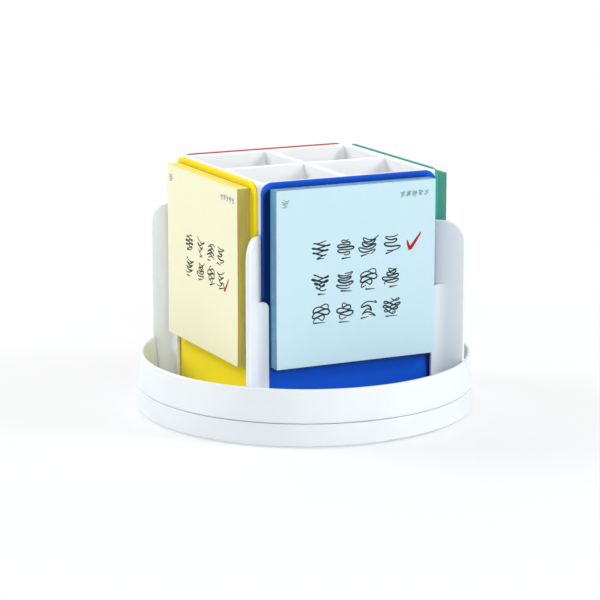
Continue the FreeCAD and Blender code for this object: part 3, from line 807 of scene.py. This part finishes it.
def sheet_stack_recipe() -> Recipe:
    """Thin sheets laid one on another, each a little out of line, the front ones lifting at the foot.

    Returns:
        The recipe.
    """
    lengths = ("Width", "Height", "Thickness", "Stray", "Lift")
    inputs = dict.fromkeys(lengths, "NodeSocketFloat") | dict.fromkeys(("Sheets", "Seed"), "NodeSocketInt")
    recipe = Recipe("sheet_stack", inputs)
    graph, given = recipe.graph, recipe.given
    tilt, lifted_part, front_bias, foot_bias = 0.0012, 0.3, 7.0, 2.0
    pitch = graph.math("DIVIDE", given["Thickness"], given["Sheets"])
    start = graph.vector(y=graph.product(pitch, -0.5), z=graph.product(given["Height"], 0.5))
    step = graph.vector(y=graph.product(pitch, -1.0))
    inputs = {"Count": given["Sheets"], "Start Location": start, "Offset": step}
    line = graph.add("GeometryNodeMeshLine", inputs).outputs[0]
    stray, back = given["Stray"], graph.product(given["Stray"], -1.0)
    shift = random_vector(graph, graph.vector(x=back, z=back), graph.vector(x=stray, z=stray), given["Seed"])
    loose = graph.add("GeometryNodeSetPosition", {"Geometry": line, "Offset": shift}).outputs[0]
    turn = random_vector(graph, (0.0, -tilt, 0.0), (0.0, tilt, 0.0), graph.math("ADD", given["Seed"], 1.0))
    inputs = {"Points": loose, "Instance": one_sheet(recipe, pitch), "Rotation": turn}
    stack = graph.add("GeometryNodeInstanceOnPoints", inputs).outputs[0]
    real = graph.add("GeometryNodeRealizeInstances", {0: stack}).outputs[0]
    place = graph.parts(graph.add("GeometryNodeInputPosition").outputs[0])
    depth = graph.math("DIVIDE", place["Y"], graph.product(given["Thickness"], -1.0))
    low = graph.ramp(graph.math("DIVIDE", place["Z"], given["Height"]), lifted_part, 0.0, 0.0, 1.0)
    front_share = graph.math("POWER", graph.math("MAXIMUM", depth, 0.0), front_bias)
    lift = graph.product(front_share, graph.math("POWER", low, foot_bias), given["Lift"], -1.0)
    inputs = {"Geometry": real, "Offset": graph.vector(y=lift)}
    recipe.end(graph.add("GeometryNodeSetPosition", inputs).outputs[0])
    return recipe


def pen_line_recipe() -> Recipe:
    """Flat ink lines along the edges of a mesh, as wide as the pen's pressure makes them.

    Returns:
        The recipe.
    """
    recipe = Recipe("pen_line", dict.fromkeys(("Width", "Plane", "Flatness"), "NodeSocketFloat"))
    graph, given = recipe.graph, recipe.given
    curve = graph.add("GeometryNodeMeshToCurve", {0: given["Geometry"]}).outputs[0]
    inputs = {"Name": "pressure"}
    pressure = graph.add("GeometryNodeInputNamedAttribute", inputs, data_type="FLOAT").outputs[0]
    half = graph.product(pressure, given["Width"], 0.5)
    nib = graph.add("GeometryNodeCurvePrimitiveCircle", {"Resolution": 8, "Radius": 1.0}).outputs[0]
    inputs = {"Curve": curve, "Profile Curve": nib, "Scale": half, "Fill Caps": True}
    line = graph.add("GeometryNodeCurveToMesh", inputs).outputs[0]
    place = graph.parts(graph.add("GeometryNodeInputPosition").outputs[0])
    away = graph.product(graph.math("SUBTRACT", place["Y"], given["Plane"]), given["Flatness"])
    flat = graph.vector(place["X"], graph.math("ADD", away, given["Plane"]), place["Z"])
    inputs = {"Geometry": line, "Position": flat}
    recipe.end(graph.add("GeometryNodeSetPosition", inputs).outputs[0])
    return recipe


def ring_recipe() -> Recipe:
    """Copies of a mesh evenly round the vertical axis.

    Returns:
        The recipe.
    """
    recipe = Recipe("ring_of_copies", {"Count": "NodeSocketInt", "Radius": "NodeSocketFloat"})
    graph, given = recipe.graph, recipe.given
    inputs = {"Vertices": given["Count"], "Radius": given["Radius"]}
    ring = graph.add("GeometryNodeMeshCircle", inputs).outputs[0]
    inputs = {"Points": ring, "Instance": given["Geometry"]}
    recipe.end(graph.add("GeometryNodeInstanceOnPoints", inputs).outputs[0])
    return recipe


def dress(finish: Finish, *nodes: str) -> None:
    """Gives CAD nodes a finish.

    Args:
        finish: The finish.
        nodes: Names of the nodes.
    """
    material = finish.material()
    for node in nodes:
        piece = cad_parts[node]
        if not piece.material_slots:
            piece.data.materials.append(material)
        for slot in piece.material_slots:
            slot.material = material
        LOG.info("%s: %s", node, finish.name)


def report(piece: Object) -> None:
    """Says how large a new piece's mesh is."""
    LOG.info("%s: %d faces", piece.name, len(piece.data.polygons))


# The object's sub-assemblies


class Side(Enum):
    """The column's sides, by how many quarter turns each lies from the front."""

    FRONT = 0
    RIGHT = 1
    BACK = 2
    LEFT = 3

    @property
    def word(self) -> str:
        """The side's name as the nodes spell it."""
        return self.name.lower()

    @property
    def turn(self) -> Matrix:
        """The turn about the vertical axis from the front to this side."""
        return Matrix.Rotation(math.tau / 4 * self.value, 4, "Z")


@dataclass
class Base:
    """The stationary dish with its feet and the screws under it."""

    foot_count: int = 6
    foot_circle: float = 62.0 * MM
    foot_radius: float = 7.0 * MM
    foot_height: float = 1.6 * MM
    groove: float = 0.3 * MM
    segments: int = 48

    def foot(self) -> Mesh:
        """One rubber foot with two grip grooves and a hollow middle.

        Returns:
            The foot's mesh.
        """
        low, radius = self.groove, self.foot_radius
        treads = [(0.0, low), (0.24, low), (0.28, 0.0), (0.44, 0.0)]
        treads += [(0.48, low), (0.6, low), (0.64, 0.0), (0.95, 0.0)]
        profile = [(0.0, self.foot_height), (radius, self.foot_height), (radius, low)]
        profile += [(share * radius, height) for share, height in reversed(treads)]
        return lathe("foot", profile, self.segments)

    def build(self, ring: Recipe) -> None:
        """Dresses the dish and makes its feet.

        Args:
            ring: The recipe for copies round the axis.
        """
        dress(WHITE_PLASTIC, "base_shell")
        dress(STEEL, "lower_race_screws", "pivot_base_screw")
        feet = ring.make("grip_feet", self.foot(), RUBBER, count=self.foot_count, radius=self.foot_circle)
        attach(feet, "base")
        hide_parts("rubber_feet")
        report(feet)


@dataclass
class Bearing:
    """The races, the ball ring and the pivot that the tray turns on."""

    def build(self) -> None:
        """Dresses the bearing's pieces."""
        dress(RACE_PLASTIC, "lower_race", "upper_race", "hub_bush")
        dress(CAGE_PLASTIC, "ball_cage")
        dress(BALL_STEEL, "bearing_balls")
        dress(STEEL, "pivot_post", "pivot_washer", "pivot_cap_screw", "upper_race_screws")


@dataclass
class Turntable:
    """The tray, the pen column and what fastens them."""

    corners: tuple[str, ...] = ("front_left", "front_right", "back_right", "back_left")

    def build(self) -> None:
        """Dresses the turning pieces."""
        dress(WHITE_PLASTIC, "tray", "column")
        # The pen insert takes the whiter copy of the white plastic: painted light in the cells.
        dress(CELL_PLASTIC_PAINTED_LIGHT, "pen_insert")
        dress(WHITE_PLASTIC, *(f"fin_{corner}" for corner in self.corners))
        dress(STEEL, "column_screws", "fin_pins")


@dataclass
class PenMark:
    """One loose scribble of the pen, and a short flick under it."""

    across: float
    up: float
    width: float = 8.4 * MM
    height: float = 8.4 * MM
    steps: int = 60
    flick_steps: int = 10

    def lines(self, chance: random.Random) -> list[list[Point]]:
        """The mark's lines of points, each a place across, a height and a pressure."""
        return [self.scribble(chance), self.flick(chance)]

    def scribble(self, chance: random.Random) -> list[Point]:
        """Sweeps of the pen from side to side, going down.

        Args:
            chance: Source of their number, width and lean.

        Returns:
            The line's points.
        """
        phase, wander = chance.uniform(0, math.tau), chance.uniform(0, math.tau)
        sweeps, lean = chance.uniform(4.2, 7.2), chance.uniform(-0.05, 0.35)
        narrow, curl = chance.uniform(0.35, 0.8), chance.uniform(0.04, 0.11)
        uneven, swell, top, fall = 0.5, 3.1, 0.42, 0.8
        light, press = 0.55, 0.45
        points = []
        for step in range(self.steps + 1):
            share = step / self.steps
            swing = math.pi * sweeps * share + phase + uneven * math.sin(5 * share + wander)
            spread = narrow + (1 - narrow) * math.sin(swell * share + wander) ** 2
            rise = top - fall * share + curl * math.sin(2 * swing + wander)
            across = self.across + self.width * 0.5 * spread * math.sin(swing) + lean * self.height * rise
            pressure = light + press * math.sin(math.pi * share) * (0.7 + 0.3 * math.cos(swing))
            points.append((across, self.up + self.height * rise, pressure))
        return points

    def flick(self, chance: random.Random) -> list[Point]:
        """A short stroke that thins out.

        Args:
            chance: Source of its place, length and tilt.

        Returns:
            The line's points.
        """
        tilt, length = chance.uniform(-0.1, 0.3), self.width * chance.uniform(0.35, 0.75)
        start = self.across - self.width * chance.uniform(0.1, 0.45)
        level = self.up - self.height * chance.uniform(0.46, 0.58)
        first, fading = 0.95, 0.6
        points = []
        for step in range(self.flick_steps + 1):
            share = step / self.flick_steps
            up = level + tilt * length * share
            points.append((start + length * share, up, first - fading * share))
        return points


# Place across, height and pressure at each turn of a tick.
TICK_ROUTE = (
    (-3.0, 3.9, 0.3), (-2.6, 2.1, 0.6), (-1.6, -0.7, 1.0),
    (-0.8, -0.6, 0.95), (2.0, 3.1, 0.75), (5.3, 7.5, 0.4),
)


@dataclass
class MemoPad:
    """A memo pad on its plate, with pen marks on the top sheet."""

    side: Side
    paper: Paper
    slot: str
    marks: list[PenMark]
    tick: tuple[float, float] | None = None
    width: float = 76.0 * MM
    height: float = 77.0 * MM
    thickness: float = 5.6 * MM
    base: float = 30.6 * MM
    back: float = 44.66 * MM
    sheets: int = 46
    stray: float = 0.09 * MM
    lift: float = 0.3 * MM
    pen_width: float = 0.85 * MM
    print_width: float = 0.34 * MM
    tick_size: float = 1.0
    tick_width: float = 1.85 * MM
    ink_height: float = 0.05 * MM
    seed_step: int = 7

    @property
    def front(self) -> float:
        """How far the top sheet stands from the axis."""
        return self.back + self.thickness

    def build(self, stack: Recipe, pen: Recipe) -> None:
        """Makes the sheets and the marks on them.

        Args:
            stack: The recipe for the sheets.
            pen: The recipe for ink lines.
        """
        empty = bpy.data.meshes.new(f"{self.side.word}_sheets")
        sheets = stack.make(
            f"{self.side.word}_sheets", empty, self.paper, width=self.width, height=self.height,
            thickness=self.thickness, sheets=self.sheets, stray=self.stray, lift=self.lift,
            seed=self.side.value * self.seed_step,
        )
        sheets.data.transform(self.side.turn @ Matrix.Translation((0, -self.back, self.base)))
        self.attach(sheets)
        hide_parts(f"{self.side.word}_memo_pad")
        chance = random.Random(f"{self.side.word} marks")
        lines = [line for mark in self.marks for line in mark.lines(chance)]
        self.attach(self.ink("pen_marks", lines, BLACK_INK, self.pen_width, pen))
        if self.tick:
            self.attach(self.ink("tick", [self.tick_line()], RED_INK, self.tick_width, pen))
        small = [line for mark in self.corner_print() for line in mark.lines(chance)]
        self.attach(self.ink("corner_print", small, GREY_INK, self.print_width, pen))

    def corner_print(self) -> list[PenMark]:
        """The small grey print at the sheet's upper corners: one mark at the left and five at the right.

        Returns:
            The marks.
        """
        margin, left, right, step = 5.6 * MM, -33.8 * MM, 22.0, 2.9
        level = self.base + self.height - margin
        one = PenMark(left, level, 3.6 * MM, 3.6 * MM)
        places = [(right + step * count) * MM for count in range(5)]
        return [one] + [PenMark(place, level, 2.4 * MM, 2.5 * MM) for place in places]

    def tick_line(self) -> list[Point]:
        """The tick's line: a short stroke down and a long one up, heaviest at the turn.

        Returns:
            Points, each a place across, a height and a pressure.
        """
        across, up = self.tick
        unit = self.tick_size * MM
        return [(across + x * unit, up + z * unit, pressure) for x, z, pressure in TICK_ROUTE]

    def ink(
        self, word: str, lines: list[list[Point]], finish: Ink, width: float, pen: Recipe
    ) -> Object:
        """Ink lines on the top sheet.

        Args:
            word: What the lines are.
            lines: Points, each a place across, a height and a pressure.
            finish: The ink.
            width: Width of a line at full pressure.
            pen: The recipe for ink lines.

        Returns:
            The lines as one piece.
        """
        plane = -self.front
        points = [[(across, plane, up) for across, up, _ in line] for line in lines]
        pressures = [[pressure for *_, pressure in line] for line in lines]
        name = f"{self.side.word}_{word}"
        piece = pen.make(
            name, polylines(name, points, pressures), finish,
            width=width, plane=plane, flatness=self.ink_height * 2 / width,
        )
        piece.data.transform(self.side.turn)
        return piece

    def attach(self, piece: Object) -> None:
        """Makes a piece move with the pad's plate."""
        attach(piece, f"{self.side.word}_module")
        report(piece)


@dataclass
class PlateModule:
    """A coloured plate with its backing card and memo pad."""

    plastic: MouldedPlastic
    pad: MemoPad

    def build(self, stack: Recipe, pen: Recipe) -> None:
        """Dresses the plate and builds the pad.

        Args:
            stack: The recipe for sheets.
            pen: The recipe for ink lines.
        """
        word = self.pad.side.word
        dress(self.plastic, f"{word}_plate")
        dress(Card(f"{word}_backing_board", self.pad.paper.cut), f"{word}_pad_backing")
        self.pad.build(stack, pen)


def rows_of_marks(places: Sequence[float], heights: Sequence[float], **sizes: float) -> list[PenMark]:
    """Marks at each place across in rows at each height, in millimetres, row by row."""
    return [PenMark(across * MM, up * MM, **sizes) for up in heights for across in places]


def pads() -> tuple[MemoPad, MemoPad, MemoPad, MemoPad]:
    """The four memo pads, from the front one on round the column.

    Returns:
        The pads.
    """
    blue = Paper("blue_sheets", srgb(199, 227, 236), srgb(44, 142, 190), srgb(10, 60, 160))
    green = Paper("green_sheets", srgb(200, 234, 214), srgb(70, 152, 140), srgb(36, 150, 128))
    pink = Paper("pink_sheets", srgb(246, 208, 212), srgb(198, 112, 120), srgb(200, 52, 56))
    yellow = Paper("yellow_sheets", srgb(244, 241, 208), srgb(190, 176, 72), srgb(255, 226, 14))
    return (
        MemoPad(
            Side.FRONT, blue, "blue_paper", marks=rows_of_marks((-17.3, -5.6, 5.4, 16.7), (81.0, 66.6, 53.2)),
            tick=(26.7 * MM, 78.6 * MM), tick_size=0.8,
        ),
        MemoPad(
            Side.RIGHT, green, "green_paper", marks=rows_of_marks((-17.0, -5.6, 5.8), (78.0, 64.0)),
            tick=(20.0 * MM, 62.0 * MM), tick_size=0.8,
        ),
        MemoPad(Side.BACK, pink, "pink_paper", marks=rows_of_marks((-16.5, -5.0, 6.5, 17.5), (80.0, 66.0))),
        MemoPad(
            Side.LEFT, yellow, "yellow_paper",
            marks=rows_of_marks((-13.6, -1.2, 10.0, 20.0), (76.0, 65.4), width=8.0 * MM, height=8.0 * MM),
            tick=(25.2 * MM, 62.0 * MM), tick_size=0.68, tick_width=1.55 * MM,
        ),
    )


def modules() -> list[PlateModule]:
    """The four plates with their pads, each plate darkened by painted shadow most beside its pad's left edge.

    Returns:
        The plates, in the pads' order.
    """
    sideways = 0.7
    # Columns: name, plate tone, edge tone (rubbed wear and painted edge highlight), amount of painted shadow.
    tones = (
        ("blue", srgb(22, 92, 214), srgb(62, 126, 226), 0.9),
        ("green", srgb(38, 172, 146), srgb(118, 206, 184), 0.5),
        ("red", srgb(220, 78, 78), srgb(246, 170, 168), 0.5),
        ("yellow", srgb(255, 232, 24), srgb(254, 236, 96), 0.35),
    )
    built = []
    for pad, (name, tone, edge, shade) in zip(pads(), tones):
        # The painted shadow leans to the plate's right as seen from outside, so it falls beside the pad's
        # left edge.
        lean = pad.side.turn @ Vector((sideways, 0.0, 0.0))
        finish = MouldedPlastic(
            f"{name}_plate_plastic", tone, edge, roughness=0.4, shine=0.12, dust=0.03,
            shaded_side=(lean.x, lean.y), shade=shade,
        )
        built.append(PlateModule(finish, pad))
    return built


# Studio


@dataclass(frozen=True)
class Softbox:
    """A large soft lamp, placed by its bearing round the object."""

    name: str
    bearing: float
    elevation: float
    level: float
    size: float = 0.9
    distance: float = 1.8

    def build(self, target: Vector) -> None:
        """Makes the lamp.

        Args:
            target: The point it faces.
        """
        lamp = bpy.data.lights.new(self.name, "AREA")
        lamp.shape, lamp.size = "DISK", self.size
        lamp.energy = self.level * math.pi**2 * self.distance**2
        turn, rise = math.radians(self.bearing), math.radians(self.elevation)
        way = Vector((-math.sin(turn) * math.cos(rise), -math.cos(turn) * math.cos(rise), math.sin(rise)))
        stand = new_object(self.name, lamp)
        stand.location = target + way * self.distance
        stand.rotation_euler = way.to_track_quat("Z", "Y").to_euler()


@dataclass
class Studio:
    """Pale floor, soft lamps and the camera."""

    camera_place: Point = (-0.4622, -0.9519, 0.2801)
    camera_drop: float = 12.39
    camera_turn: float = -25.77
    lens: float = 145.3
    sensor: float = 36.0
    aim: Point = (0.0, 0.0, 0.05)
    floor_half: float = 12.0
    sky_level: float = 0.25
    sky_colour: Colour = (0.92, 0.97, 1.0, 1.0)
    floor_tone: Colour = (0.86, 0.87, 0.88, 1.0)
    floor_white: tuple[float, float] = (0.6, 1.0)
    floor_fade: tuple[float, float] = (0.09, 0.3)
    lamps: tuple[Softbox, ...] = (
        Softbox("low_front_softbox", 20.0, 15.0, 0.31),
        Softbox("key_softbox", -48.0, 36.0, 0.36, 0.5),
        Softbox("right_softbox", -65.0, 30.0, 0.18, 0.8),
        Softbox("left_softbox", 130.0, 30.0, 0.6),
        Softbox("back_softbox", 180.0, 45.0, 0.17),
        Softbox("overhead_softbox", 0.0, 88.0, 0.12),
    )

    def build(self) -> None:
        """Makes the floor, the sky, the lamps and the camera."""
        scene = bpy.context.scene
        scene.view_settings.view_transform = "Standard"
        self.build_floor()
        self.build_sky(scene)
        for lamp in self.lamps:
            lamp.build(Vector(self.aim))
        lens = bpy.data.cameras.new("camera")
        lens.lens, lens.sensor_width = self.lens, self.sensor
        camera = new_object("camera", lens)
        camera.location = self.camera_place
        camera.rotation_euler = (math.radians(90 - self.camera_drop), 0, math.radians(self.camera_turn))
        scene.camera = camera

    def seen(self, graph: Graph) -> Socket:
        """Where a ray comes from the camera, a mirror-like surface or clear material.

        Args:
            graph: The nodes to add to.

        Returns:
            1 where it does, else 0.
        """
        path = graph.add("ShaderNodeLightPath").outputs
        both = graph.math("MAXIMUM", path["Is Camera Ray"], path["Is Glossy Ray"])
        return graph.math("MAXIMUM", both, path["Is Transmission Ray"])

    def build_floor(self) -> None:
        """A wide floor that reads white and keeps the shadow."""
        half = self.floor_half
        mesh = bpy.data.meshes.new("floor")
        corners = [(-half, -half, 0), (half, -half, 0), (half, half, 0), (-half, half, 0)]
        mesh.from_pydata(corners, [], [(0, 1, 2, 3)])
        floor = new_object("floor", mesh)
        material = bpy.data.materials.new("studio_floor")
        graph = empty_graph(material)
        paint = graph.add("ShaderNodeBsdfDiffuse", {"Color": self.floor_tone}).outputs[0]
        white = graph.add("ShaderNodeEmission", {"Color": (1, 1, 1, 1), "Strength": 1.0}).outputs[0]
        place = graph.add("ShaderNodeTexCoord").outputs["Object"]
        away = graph.add("ShaderNodeVectorMath", {0: place}, operation="LENGTH").outputs["Value"]
        white_share = graph.ramp(away, *self.floor_fade, *self.floor_white)
        share = graph.math("MULTIPLY", self.seen(graph), white_share)
        both = graph.add("ShaderNodeMixShader", {0: share, 1: paint, 2: white}).outputs[0]
        graph.add("ShaderNodeOutputMaterial", {"Surface": both})
        mesh.materials.append(material)

    def build_sky(self, scene: bpy.types.Scene) -> None:
        """An even sky that lights softly and looks white.

        Args:
            scene: The scene whose world it is.
        """
        world = bpy.data.worlds.new("studio")
        graph = empty_graph(world)
        inputs = {"Color": self.sky_colour, "Strength": self.sky_level}
        light = graph.add("ShaderNodeBackground", inputs).outputs[0]
        white = graph.add("ShaderNodeBackground", {"Color": (1, 1, 1, 1), "Strength": 1.0}).outputs[0]
        both = graph.add("ShaderNodeMixShader", {0: self.seen(graph), 1: light, 2: white}).outputs[0]
        graph.add("ShaderNodeOutputWorld", {"Surface": both})
        scene.world = world


def main() -> None:
    """Builds the studio and every sub-assembly in order."""
    logging.basicConfig(level=logging.INFO, format="%(message)s")
    Studio().build()
    ring, stack, pen = ring_recipe(), sheet_stack_recipe(), pen_line_recipe()
    Base().build(ring)
    Bearing().build()
    Turntable().build()
    for module in modules():
        module.build(stack, pen)


if __name__ == "__main__":
    main()
